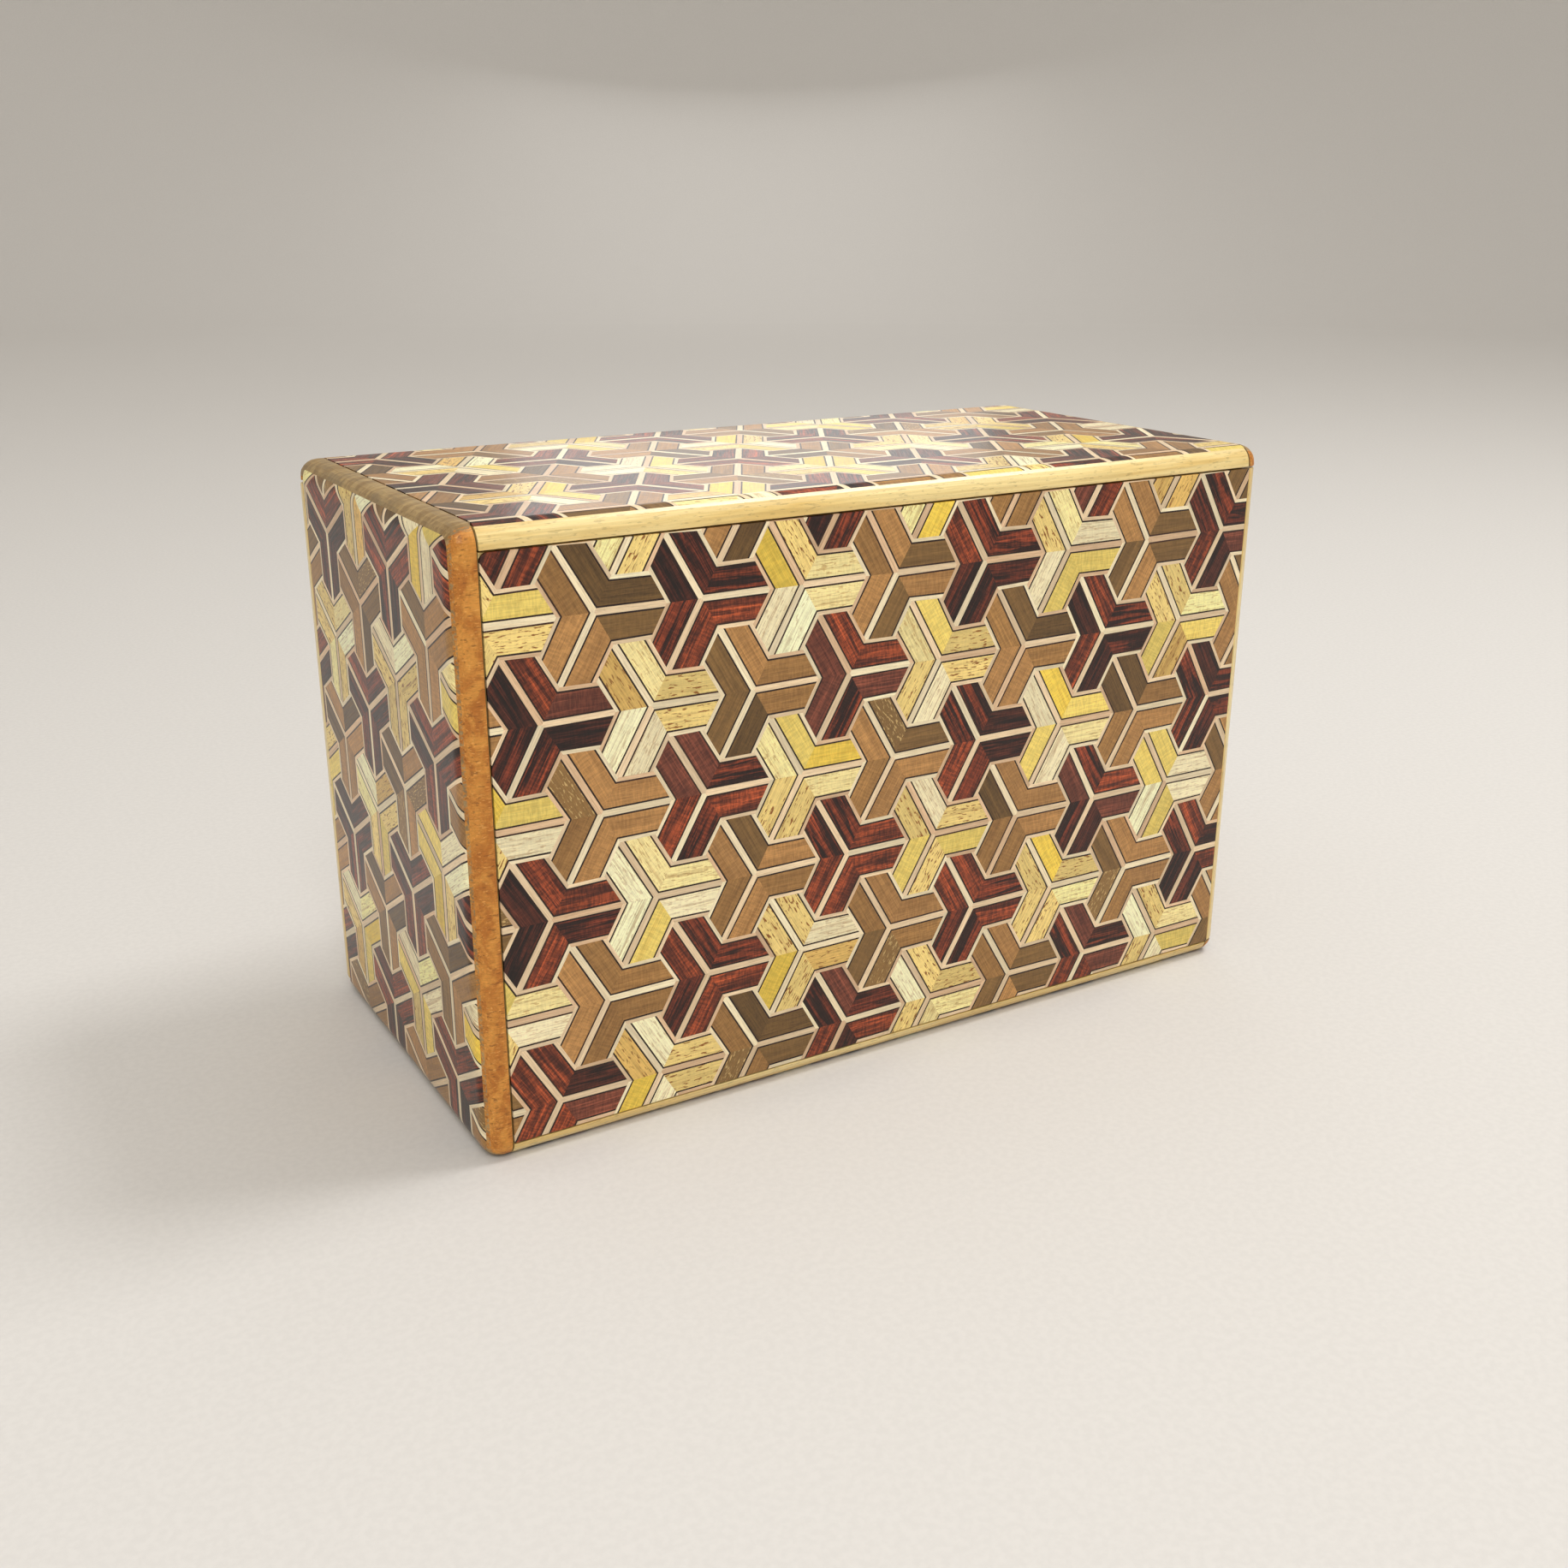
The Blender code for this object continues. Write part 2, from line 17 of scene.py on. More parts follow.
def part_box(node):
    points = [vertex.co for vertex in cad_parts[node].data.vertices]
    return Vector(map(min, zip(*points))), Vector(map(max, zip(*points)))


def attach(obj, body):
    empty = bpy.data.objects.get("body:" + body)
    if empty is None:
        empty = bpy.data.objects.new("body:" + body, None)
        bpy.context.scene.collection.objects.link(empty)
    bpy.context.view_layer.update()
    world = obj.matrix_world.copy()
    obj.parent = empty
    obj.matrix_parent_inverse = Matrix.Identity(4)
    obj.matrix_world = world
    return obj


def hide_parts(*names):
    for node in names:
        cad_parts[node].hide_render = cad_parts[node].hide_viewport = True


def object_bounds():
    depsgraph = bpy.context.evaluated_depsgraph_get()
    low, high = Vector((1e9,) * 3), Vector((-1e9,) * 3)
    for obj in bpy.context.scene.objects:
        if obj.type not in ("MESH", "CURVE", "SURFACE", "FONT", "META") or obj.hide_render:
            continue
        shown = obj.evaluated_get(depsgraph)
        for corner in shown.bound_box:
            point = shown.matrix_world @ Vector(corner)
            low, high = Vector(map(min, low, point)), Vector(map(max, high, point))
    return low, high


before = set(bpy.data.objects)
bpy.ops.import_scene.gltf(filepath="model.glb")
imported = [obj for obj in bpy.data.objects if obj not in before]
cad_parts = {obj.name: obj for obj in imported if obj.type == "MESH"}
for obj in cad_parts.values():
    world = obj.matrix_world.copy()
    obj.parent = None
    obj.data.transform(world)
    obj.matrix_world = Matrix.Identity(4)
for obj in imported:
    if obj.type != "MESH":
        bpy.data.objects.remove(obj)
CAD_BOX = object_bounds()

MM = 0.001

# Rounded outside of the box, and where its veneers run out on that rounding.
EDGE_RADIUS = 3.2
VENEER_EDGE = 1.5
VENEER_DEPTH = 0.52
VENEER_CORNER = 1.7
ROUNDING_ANGLES = (0.0, 8.0, 16.0, 24.0)
VENEER_NEAR = 2.2
LID_CORNER = 1.3
CORNER_TURNS = 6
WELD = 0.002

# One tile: the side of its hexagonal arms, the spacing of its rows, and its pale and dark lines.
ARM_SIDE = 5.79
ROW_STEP = 15.2
STRIP_HALF = 0.50
INK_WIDTH = 0.27
OUTER_LINE = 0.58
WIDTH_WANDER = 0.12
CORNER_WANDER = 0.09
TONE_WANDER = 0.07
GRAIN_SPREAD = 900.0

# Strength of the bare woods' reflection, where 0.5 is that of glass, and the tiles' lacquer.
SHINE = 0.25
TILE_COAT = 0.35
TILE_COAT_ROUGHNESS = 0.18

# Depth of the boards' grain, in millimetres, and how dark their pores are beside the wood.
BOARD_RELIEF = 0.034
END_RELIEF = 0.03
PORE_SHADE = 0.62

# Rounding of the boards' own edges.
ARRIS = 0.18
SMOOTH_ANGLE = 40.0
LEVEL_ANGLE = 1.0

# Floor, which is flat in the middle and rises in a smooth sweep all round, in metres.
FLOOR_COLOUR = (214, 211, 207)
FLOOR_SPECKS = (218, 215, 211)
SPECKS_PER_METRE = 900.0
FLOOR_FLAT = 1.7
FLOOR_SWEEP = 0.7
FLOOR_HEIGHT = 2.6
FLOOR_TURNS = 96
SWEEP_STEPS = 16

# Lamps: name, place, side and power. The sheen lamp lies low behind, near where the top mirrors.
MIDDLE = Vector((0.0, 0.0, 0.05))
WORLD_COLOUR = (238, 234, 227)
WORLD_LIGHT = 0.95
LAMPS = (
    ("key_lamp", (-0.45, -0.85, 0.95), 0.6, 6.8),
    ("strip_lamp", (0.50, -0.10, 0.95), 0.30, 4.5),
    ("sheen_lamp", (1.05, 1.85, 0.70), 0.7, 2.2),
)

# Camera.
CAMERA_PLACE = (-150.24, -249.43, 140.12)
CAMERA_TURN = 30.852
CAMERA_TILT = 19.473
CAMERA_LENS = 38.46
SENSOR = 36.0

Cut = namedtuple("Cut", "share tone second streak fleck ripple")

# What each kind of wood is cut from: main colour, figure colour, and how strong its streaks,
# flecks and ripple are. Colours are sRGB out of 255.
DARK_CUTS = (
    Cut(5, (130, 55, 29), (26, 11, 8), 0.95, 0.30, 1.0),
    Cut(4, (102, 42, 24), (21, 9, 7), 0.90, 0.30, 0.9),
    Cut(4, (152, 68, 35), (62, 24, 14), 0.80, 0.50, 1.2),
    Cut(2, (74, 32, 20), (19, 9, 7), 0.90, 0.20, 0.7),
    Cut(1, (118, 62, 44), (84, 40, 28), 0.60, 0.40, 0.8),
)
BROWN_CUTS = (
    Cut(6, (182, 134, 78), (138, 96, 50), 0.40, 0.20, 0.9),
    Cut(4, (166, 122, 68), (118, 82, 42), 0.45, 0.25, 0.8),
    Cut(3, (136, 102, 56), (94, 68, 35), 0.50, 0.25, 0.6),
    Cut(2, (108, 80, 42), (68, 48, 24), 0.55, 0.35, 0.5),
    Cut(1, (138, 104, 58), (202, 170, 110), 0.05, 1.00, 0.4),
)
PALE_CUTS = (
    Cut(2, (238, 212, 112), (210, 170, 70), 0.30, 0.20, 1.0),
    Cut(3, (255, 242, 198), (162, 108, 54), 0.48, 0.40, 0.4),
    Cut(3, (240, 212, 132), (148, 92, 38), 0.30, 1.00, 0.4),
    Cut(2, (251, 233, 164), (176, 126, 62), 0.42, 0.55, 0.6),
    Cut(1, (240, 206, 82), (196, 146, 46), 0.35, 0.20, 0.9),
    Cut(1, (226, 186, 104), (136, 84, 36), 0.35, 0.80, 0.4),
)
LINE_CUTS = (
    Cut(4, (236, 211, 174), (204, 170, 128), 0.35, 0.25, 0.2),
    Cut(3, (244, 228, 192), (214, 186, 140), 0.30, 0.25, 0.2),
    Cut(2, (226, 192, 154), (192, 152, 112), 0.35, 0.30, 0.2),
)
INK_CUTS = (
    Cut(3, (38, 18, 10), (24, 11, 7), 0.4, 0.1, 0.1),
    Cut(1, (60, 32, 18), (36, 19, 11), 0.4, 0.1, 0.1),
)
CUTS = {"dark": DARK_CUTS, "brown": BROWN_CUTS, "pale": PALE_CUTS, "line": LINE_CUTS, "ink": INK_CUTS}
KINDS = tuple(CUTS)

# A veneered face: the CAD veneer that it stands for and its body, the axes that it is drawn on
# (across, up, outward), where one tile's centre is on it, the way its first arm points, the way
# to the next row, the woods met along a row, and the seed of its dice.
Face = namedtuple("Face", "name body node across up outward tile arm row woods seed")


# ---------------------------------------------------------------- nodes

def linear(colour):
    """An sRGB colour out of 255 as a linear RGBA."""
    scaled = [channel / 255 for channel in colour]
    light = [c / 12.92 if c <= 0.04045 else ((c + 0.055) / 1.055) ** 2.4 for c in scaled]
    return (*light, 1.0)


def add(tree, kind, inputs=None, **settings):
    """Add a node, set its properties, and feed its inputs with values or sockets."""
    node = tree.nodes.new(kind)
    for key, value in settings.items():
        setattr(node, key, value)
    for key, value in (inputs or {}).items():
        if isinstance(value, bpy.types.NodeSocket):
            tree.links.new(value, node.inputs[key])
        else:
            node.inputs[key].default_value = value
    return node


def attribute(tree, name):
    """The node that reads one of a mesh's attributes."""
    return add(tree, "ShaderNodeAttribute", attribute_name=name)


def stretched(tree, vector, factors):
    """A vector with each axis multiplied."""
    return add(tree, "ShaderNodeVectorMath", {0: vector, 1: factors}, operation="MULTIPLY").outputs[0]


def noise(tree, vector, factors, detail=3.0, roughness=0.55, distortion=0.0):
    """Noise from 0 to 1 over a vector stretched by the factors, each in features per unit."""
    place = stretched(tree, vector, factors)
    node = add(tree, "ShaderNodeTexNoise", {"Vector": place, "Scale": 1.0, "Detail": detail,
                                            "Roughness": roughness, "Distortion": distortion})
    return node.outputs["Fac"]


def between(tree, value, low, high, to_low=0.0, to_high=1.0):
    """A value eased from one range into another and held at its ends."""
    node = add(tree, "ShaderNodeMapRange", {"Value": value, "From Min": low, "From Max": high,
                                            "To Min": to_low, "To Max": to_high},
               interpolation_type="SMOOTHSTEP")
    return node.outputs["Result"]


def sums(tree, operation, first, second):
    """Arithmetic on two values."""
    return add(tree, "ShaderNodeMath", {0: first, 1: second}, operation=operation).outputs[0]


def blend(tree, factor, first, second):
    """Two colours mixed by a factor."""
    node = add(tree, "ShaderNodeMix", {"Factor": factor}, data_type="RGBA")
    for socket, value in (("A_Color", first), ("B_Color", second)):
        target = next(s for s in node.inputs if s.identifier == socket)
        if isinstance(value, bpy.types.NodeSocket):
            tree.links.new(value, target)
        else:
            target.default_value = value
    return next(s for s in node.outputs if s.identifier == "Result_Color")


def shade(tree, colour, value):
    """A colour multiplied by a value."""
    return add(tree, "ShaderNodeVectorMath", {0: colour, "Scale": value}, operation="SCALE").outputs[0]


def new_material(name, coat, coat_roughness):
    """A material with an empty tree but for its shader, and a thin coat of lacquer."""
    material = bpy.data.materials.new(name)
    material.use_nodes = True
    shader = material.node_tree.nodes["Principled BSDF"]
    shader.inputs["Specular IOR Level"].default_value = SHINE
    shader.inputs["Coat Weight"].default_value = coat
    shader.inputs["Coat Roughness"].default_value = coat_roughness
    return material, material.node_tree, shader


def dress(tree, shader, colour, roughness, height, relief):
    """Give the shader its colour, roughness and a bump of the given relief in millimetres."""
    bump = add(tree, "ShaderNodeBump", {"Height": height, "Distance": relief * MM, "Strength": 1.0})
    tree.links.new(colour, shader.inputs["Base Color"])
    tree.links.new(roughness, shader.inputs["Roughness"])
    tree.links.new(bump.outputs["Normal"], shader.inputs["Normal"])


# ---------------------------------------------------------------- woods

# How each kind's figure is drawn: features per millimetre along and across the grain, where its
# streaks start and are full, how much its threads glow and its ripple swings, and its relief.
Figure = namedtuple("Figure", "streak_along streak_across fleck_along fleck_across "
                              "low high glow wave relief")
FIGURES = {
    "dark": Figure(0.06, 0.80, 0.9, 4.5, 0.44, 0.57, 0.85, 0.28, 0.016),
    "brown": Figure(0.05, 0.80, 1.0, 3.6, 0.42, 0.66, 0.16, 0.13, 0.012),
    "pale": Figure(0.04, 0.90, 0.7, 3.2, 0.55, 0.68, 0.08, 0.09, 0.010),
    "line": Figure(0.05, 1.60, 0.8, 5.0, 0.40, 0.70, 0.08, 0.06, 0.008),
    "ink": Figure(0.10, 2.00, 0.8, 5.0, 0.40, 0.70, 0.10, 0.06, 0.004),
}


def tile_wood(kind):
    """Wood of the marquetry tiles, drawn from the grain, tone, second and figure attributes."""
    material, tree, shader = new_material(kind + "_tile_wood", coat=TILE_COAT,
                                          coat_roughness=TILE_COAT_ROUGHNESS)
    figure = FIGURES[kind]
    grain = attribute(tree, "grain").outputs["Vector"]
    strength = add(tree, "ShaderNodeSeparateXYZ", {0: attribute(tree, "figure").outputs["Vector"]})
    tone = attribute(tree, "tone").outputs["Color"]
    second = attribute(tree, "second").outputs["Color"]

    broad = noise(tree, grain, (figure.streak_along, figure.streak_across, 1.0), 5.0, 0.68, 0.5)
    streak = between(tree, broad, figure.low, figure.high)
    colour = blend(tree, sums(tree, "MULTIPLY", streak, strength.outputs["X"]), tone, second)
    threads = noise(tree, grain, (0.09, 3.0, 1.7), 3.0, 0.6, 0.3)
    dark_thread = between(tree, threads, 0.55, 0.63, 0.0, 0.75)
    colour = blend(tree, sums(tree, "MULTIPLY", dark_thread, strength.outputs["X"]), colour, second)
    pores = noise(tree, grain, (figure.fleck_along, figure.fleck_across, 3.0), 2.0, 0.5)
    fleck = between(tree, pores, 0.57, 0.65)
    colour = blend(tree, sums(tree, "MULTIPLY", fleck, strength.outputs["Y"]), colour, second)

    fine = noise(tree, grain, (0.25, 6.0, 5.0), 3.0, 0.65)
    ripple = noise(tree, grain, (2.8, 0.5, 7.0), 2.0, 0.55, 0.5)
    swing = between(tree, ripple, 0.38, 0.64, -figure.wave, figure.wave)
    glow = between(tree, threads, 0.47, 0.36, 0.0, figure.glow)
    light = sums(tree, "ADD", between(tree, fine, 0.30, 0.70, 0.86, 1.10), glow)
    light = sums(tree, "ADD", light, sums(tree, "MULTIPLY", swing, strength.outputs["Z"]))
    colour = shade(tree, colour, light)
    height = sums(tree, "ADD", fine, sums(tree, "MULTIPLY", fleck, -0.8))
    roughness = between(tree, fine, 0.25, 0.75, 0.36, 0.5)
    dress(tree, shader, colour, roughness, height, figure.relief)
    return material


def board_grain(tree, place, along, length_way, cross_way, detail, distortion=0.0):
    """Noise over the box in millimetres, with its own spacing along the grain and across it."""
    factors = [cross_way] * 3
    factors["XYZ".index(along)] = length_way
    return noise(tree, place, factors, detail, 0.58, distortion)


def box_place(tree):
    """Where a point is in the box, in millimetres."""
    place = add(tree, "ShaderNodeTexCoord").outputs["Object"]
    return stretched(tree, place, (1 / MM, 1 / MM, 1 / MM))


def board_wood(name, along, base, second, coat, fleck_strength):
    """Solid wood with its grain along one axis of the box: rings, fibres and flecks."""
    material, tree, shader = new_material(name, coat, coat_roughness=0.2)
    place = box_place(tree)
    bands = between(tree, board_grain(tree, place, along, 0.012, 0.16, 4.0, 1.2), 0.38, 0.62)
    colour = blend(tree, bands, linear(base), linear(second))
    fibres = board_grain(tree, place, along, 0.10, 3.2, 3.0)
    pores = board_grain(tree, place, along, 0.6, 2.6, 2.0)
    fleck = between(tree, pores, 0.58, 0.68, 0.0, fleck_strength)
    colour = blend(tree, fleck, colour, shade(tree, colour, PORE_SHADE))
    colour = shade(tree, colour, between(tree, fibres, 0.30, 0.70, 0.91, 1.06))
    grit = noise(tree, place, (1.6, 2.6, 2.6), 2.0, 0.7)
    height = sums(tree, "ADD", sums(tree, "ADD", fibres, grit), sums(tree, "MULTIPLY", fleck, -1.0))
    roughness = between(tree, fibres, 0.25, 0.75, 0.34, 0.48)
    dress(tree, shader, colour, roughness, height, BOARD_RELIEF)
    return material


def end_wood():
    """Wood of the end boards: orange end grain to the front and back, tan long grain elsewhere."""
    material, tree, shader = new_material("end_wood", coat=0.15, coat_roughness=0.3)
    place = box_place(tree)
    mottle = noise(tree, place, (0.30, 0.25, 0.22), 5.0, 0.65, 0.8)
    front = blend(tree, between(tree, mottle, 0.36, 0.62), linear((216, 149, 66)), linear((182, 111, 42)))
    dashes = noise(tree, place, (0.7, 2.2, 2.4), 3.0, 0.55)
    front = blend(tree, between(tree, dashes, 0.57, 0.68, 0.0, 0.6), front, linear((118, 66, 26)))
    sparks = noise(tree, place, (0.9, 3.1, 3.4), 2.0, 0.5)
    front = blend(tree, between(tree, sparks, 0.60, 0.70, 0.0, 0.5), front, linear((238, 178, 96)))

    ribs = noise(tree, place, (0.10, 0.75, 0.75), 4.0, 0.6, 0.4)
    long_way = blend(tree, between(tree, ribs, 0.36, 0.62), linear((176, 148, 100)), linear((142, 114, 72)))
    grey = noise(tree, place, (0.5, 0.12, 0.12), 3.0, 0.55)
    long_way = blend(tree, between(tree, grey, 0.45, 0.65, 0.0, 0.5), long_way, linear((128, 112, 86)))

    facing = add(tree, "ShaderNodeSeparateXYZ", {0: add(tree, "ShaderNodeNewGeometry").outputs["Normal"]})
    ragged = between(tree, dashes, 0.2, 0.8, -0.16, 0.16)
    turn = sums(tree, "ADD", sums(tree, "ABSOLUTE", facing.outputs["Y"], 0.0), ragged)
    colour = blend(tree, between(tree, turn, 0.52, 0.66), long_way, front)
    fibres = noise(tree, place, (0.8, 4.0, 4.0), 3.0, 0.6)
    colour = shade(tree, colour, between(tree, fibres, 0.30, 0.70, 0.86, 1.08))
    height = sums(tree, "ADD", fibres, sums(tree, "MULTIPLY", dashes, 0.8))
    roughness = between(tree, fibres, 0.25, 0.75, 0.42, 0.58)
    dress(tree, shader, colour, roughness, height, END_RELIEF)
    return material


# ---------------------------------------------------------------- tiles

Band = namedtuple("Band", "corners kind origin along cut tone offset")

# Corners of a half arm on the tile grid, whose steps are half a side along the arm and the
# height of a half arm across it: the tile's centre, the arm's tip, its outer corner and the notch.
HALF_ARM = ((0, 0), (4, 0), (3, 1), (1, 1))
TILE_STEP = 3


def turned(corner):
    """A grid corner turned a third of a circle round the tile's centre."""
    u, v = corner
    return -(u + 3 * v) // 2, (u - v) // 2


def dice_at(seed, u, v):
    """Dice that always fall the same way for one place on a face."""
    return random.Random(f"{seed} {u} {v}")


def placed(face, corner):
    """Where a grid corner is in the face's plane, moved a little as in hand work."""
    dice = dice_at(face.seed, *corner)
    wander = Vector((dice.uniform(-1, 1), dice.uniform(-1, 1))) * CORNER_WANDER
    along = Vector(face.arm) * (corner[0] * ARM_SIDE / 2)
    across = Vector(face.row) * (corner[1] * ROW_STEP / TILE_STEP)
    return Vector(face.tile) + along + across + wander


def band_marks(face, start, end):
    """Shares of a tile edge at which a strip, its dark lines, the wood and the outer line end."""
    dice = dice_at(face.seed + 1, start[0] + end[0], start[1] + end[1])
    whole = ROW_STEP / TILE_STEP
    strip = STRIP_HALF * dice.uniform(1 - WIDTH_WANDER, 1 + WIDTH_WANDER)
    line = OUTER_LINE * dice.uniform(1 - WIDTH_WANDER, 1 + WIDTH_WANDER)
    marks = (0.0, strip, strip + INK_WIDTH, whole - line - INK_WIDTH, whole - line, whole)
    return [mark / whole for mark in marks]


def pick(kind, dice):
    """One cut of a kind of wood and its own tone."""
    cut = dice.choices(CUTS[kind], [cut.share for cut in CUTS[kind]])[0]
    factor = dice.uniform(1 - TONE_WANDER, 1 + TONE_WANDER)
    return cut, [min(channel * factor, 255) for channel in cut.tone]


def half_arm_bands(face, corners, wood, strip, dice):
    """The five bands of a half arm, given the centre, the tip and its two outer corners."""
    seam = band_marks(face, corners[0], corners[3])
    end = band_marks(face, corners[1], corners[2])
    crossing = band_marks(face, corners[3], corners[2])
    centre, tip, outer, notch = (placed(face, corner) for corner in corners)
    along = (tip - centre).normalized()
    bands = []
    for index, kind in enumerate(("line", "ink", wood, "ink", "line")):
        outline = [centre.lerp(notch, seam[index]), tip.lerp(outer, end[index]),
                   tip.lerp(outer, end[index + 1])]
        if index == 4:
            outline += [notch.lerp(outer, share) for share in reversed(crossing[1:-1])]
        outline.append(centre.lerp(notch, seam[index + 1]))
        if (tip - centre).cross(notch - centre) < 0:
            outline.reverse()
        cut, tone = strip if index == 0 else pick(kind, dice)
        bands.append(Band(outline, kind, centre, along, cut, tone, dice.uniform(0, GRAIN_SPREAD)))
    return bands


def tile_bands(face, centre, wood, dice):
    """All the bands of one tile: three arms of two halves each."""
    bands = []
    for mirror in (1, -1):
        half = [(u, v * mirror) for u, v in HALF_ARM]
        for _ in range(3):
            corners = [(centre[0] + u, centre[1] + v) for u, v in half]
            strip = pick("line", dice_at(face.seed, *corners[1]))
            bands += half_arm_bands(face, corners, wood, strip, dice)
            half = [turned(corner) for corner in half]
    return bands


def face_bands(face, low, high):
    """The bands of every tile that reaches between two corners, in the face's own plane."""
    dice = random.Random(face.seed)
    reach = Vector((2 * ARM_SIDE, 2 * ARM_SIDE))
    count = int((high - low).length / ARM_SIDE)
    bands = []
    for k in range(-count, count + 1):
        for step in range(-count, count + 1):
            corner = (step * TILE_STEP, k * TILE_STEP)
            centre = placed(face, corner)
            reached = all(start - margin < at < end + margin for start, at, end, margin
                          in zip(low, centre, high, reach))
            if (step + k) % 2 == 0 and reached:
                wood = face.woods[((step + 3 * (k % 2)) // 2) % 3]
                bands += tile_bands(face, corner, wood, dice)
    return bands


# ---------------------------------------------------------------- veneer sheets

def rounding_depth(point, half):
    """How far the rounded outside lies below the flat of a face at a point."""
    over = Vector((max(abs(point.x) - half.x + EDGE_RADIUS, 0.0),
                   max(abs(point.y) - half.y + EDGE_RADIUS, 0.0)))
    return EDGE_RADIUS - math.sqrt(max(EDGE_RADIUS ** 2 - over.length_squared, 0.0))


def rounding_cuts(half):
    """Lines, each a point and a normal, along which a sheet bends to follow the rounding."""
    cuts = []
    for angle in ROUNDING_ANGLES:
        inset = EDGE_RADIUS * (1 - math.sin(math.radians(angle)))
        for side in (-1, 1):
            cuts.append((Vector((side * (half.x - inset), 0, 0)), Vector((1, 0, 0))))
            cuts.append((Vector((0, side * (half.y - inset), 0)), Vector((0, 1, 0))))
    return cuts


def outline_cuts(low, high, radii):
    """Lines round a rectangle, with a radius for each of its corners anticlockwise from the lowest."""
    cuts = [(low, Vector((-1, 0))), (low, Vector((0, -1))), (high, Vector((1, 0))), (high, Vector((0, 1)))]
    signs = ((-1, -1), (1, -1), (1, 1), (-1, 1))
    for (sign_x, sign_y), radius in zip(signs, radii):
        corner = Vector((high.x if sign_x > 0 else low.x, high.y if sign_y > 0 else low.y))
        middle = corner - Vector((sign_x, sign_y)) * radius
        for turn in range(CORNER_TURNS if radius else 0):
            angle = (turn + 0.5) / CORNER_TURNS * math.pi / 2
            normal = Vector((sign_x * math.cos(angle), sign_y * math.sin(angle)))
            cuts.append((middle + normal * radius, normal))
    return [(point.to_3d(), normal.to_3d()) for point, normal in cuts]


def split(shape, point, normal, trim):
    """Cut a flat sheet along a line and, to trim it, drop what lies beyond."""
    everything = shape.verts[:] + shape.edges[:] + shape.faces[:]
    bmesh.ops.bisect_plane(shape, geom=everything, dist=WELD, plane_co=point, plane_no=normal,
                           clear_outer=trim)


def close_sheet(shape, layer):
    """Add the edge and the back of a flat sheet, so that it is one closed body."""
    border = [edge for edge in shape.edges if len(edge.link_faces) == 1]
    rim = {vertex for edge in border for vertex in edge.verts}
    back = {vertex: shape.verts.new((vertex.co.x, vertex.co.y, -VENEER_DEPTH)) for vertex in rim}
    following = {}
    for edge in border:
        loop = edge.link_loops[0]
        start, end = loop.vert, loop.link_loop_next.vert
        following[start] = end
        wall = shape.faces.new((end, start, back[start], back[end]))
        wall[layer] = loop.face[layer]
        wall.material_index = loop.face.material_index
    ring = [border[0].link_loops[0].vert]
    while following[ring[-1]] is not ring[0]:
        ring.append(following[ring[-1]])
    underside = shape.faces.new([back[vertex] for vertex in reversed(ring)])
    underside.material_index = KINDS.index("pale")


def sheet_mesh(face, half, low, high, radii):
    """A closed veneer sheet in its own plane, its top bent to the rounded outside."""
    bands = face_bands(face, low, high)
    shape = bmesh.new()
    layer = shape.faces.layers.int.new("band")
    for number, band in enumerate(bands):
        made = shape.faces.new([shape.verts.new(corner.to_3d()) for corner in band.corners])
        made[layer] = number
        made.material_index = KINDS.index(band.kind)
        made.smooth = True
    bmesh.ops.remove_doubles(shape, verts=shape.verts, dist=WELD)
    for point, normal in outline_cuts(low, high, radii):
        split(shape, point, normal, True)
    for point, normal in rounding_cuts(half):
        split(shape, point, normal, False)
    top = shape.verts[:]
    close_sheet(shape, layer)
    for vertex in top:
        vertex.co.z = -rounding_depth(vertex.co, half)
    mesh = bpy.data.meshes.new(face.name)
    shape.to_mesh(mesh)
    shape.free()
    write_attributes(mesh, bands)
    mesh.set_sharp_from_angle(angle=math.radians(SMOOTH_ANGLE))
    return mesh


def write_attributes(mesh, bands):
    """Give every face corner its place in the grain, its colours and the strength of its figure."""
    values = {"grain": [], "figure": [], "tone": [], "second": []}
    band_of = mesh.attributes["band"].data
    for polygon in mesh.polygons:
        band = bands[band_of[polygon.index].value]
        side = Vector((-band.along.y, band.along.x))
        for corner in polygon.loop_indices:
            point = mesh.vertices[mesh.loops[corner].vertex_index].co.xy - band.origin
            values["grain"] += (point.dot(band.along) + band.offset, point.dot(side) + band.offset,
                                band.offset)
            values["figure"] += (band.cut.streak, band.cut.fleck, band.cut.ripple)
            values["tone"] += linear(band.tone)
            values["second"] += linear(band.cut.second)
    for name, flat in values.items():
        kind, field = ("FLOAT_COLOR", "color") if name in ("tone", "second") else ("FLOAT_VECTOR", "vector")
        mesh.attributes.new(name, kind, "CORNER").data.foreach_set(field, flat)


def sheet_reach(face, low, high, half):
    """The corners of a veneer sheet and their radii: where the CAD veneer ends, or on the rounding."""
    limits, on_edge = [], []
    for side, outer in ((low.x, -half.x), (low.y, -half.y), (high.x, half.x), (high.y, half.y)):
        near = abs(outer - side) < VENEER_NEAR
        limits.append(outer - math.copysign(VENEER_EDGE, outer) if near else side)
        on_edge.append(near)
    left, bottom, right, top = on_edge
    radii = [VENEER_CORNER if both else 0.0
             for both in (left and bottom, right and bottom, right and top, left and top)]
    if face.name == "lid_marquetry":
        radii[3] = LID_CORNER
    return Vector(limits[:2]), Vector(limits[2:]), radii


